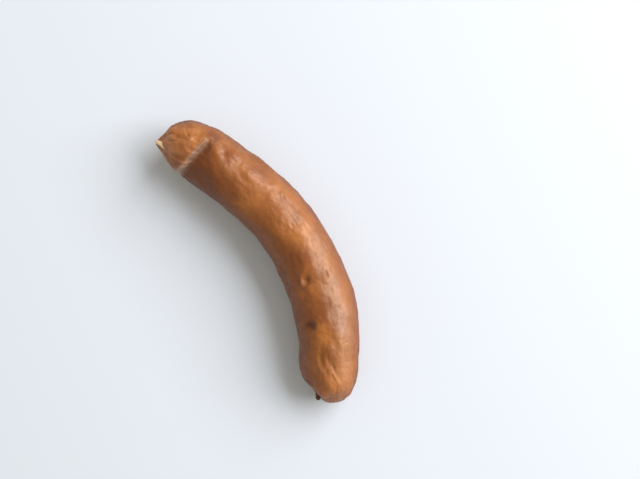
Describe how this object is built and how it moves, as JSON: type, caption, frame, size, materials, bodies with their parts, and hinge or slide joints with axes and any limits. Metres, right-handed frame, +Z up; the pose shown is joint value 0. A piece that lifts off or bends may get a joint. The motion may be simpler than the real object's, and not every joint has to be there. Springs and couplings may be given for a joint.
{
  "type": "grilled sausage link",
  "caption": "Bow-shaped grilled sausage link in a wrinkled brown natural casing, creased near its raised end, with a short tail of dried casing at each tip.",
  "frame": {"origin": "under the middle of the bounding box, on the surface that the link lies on", "axes": "+X along the chord from the creased end to the knotted end, +Y towards the outside of the bend, +Z up"},
  "size_m": [0.1778, 0.0544, 0.0341],
  "materials": {
    "casing": "grilled natural casing, golden to dark brown, thinly greased and softly glossy"
  },
  "bodies": {
    "root": {"sausage_link": "casing"}
  },
  "joints": []
}
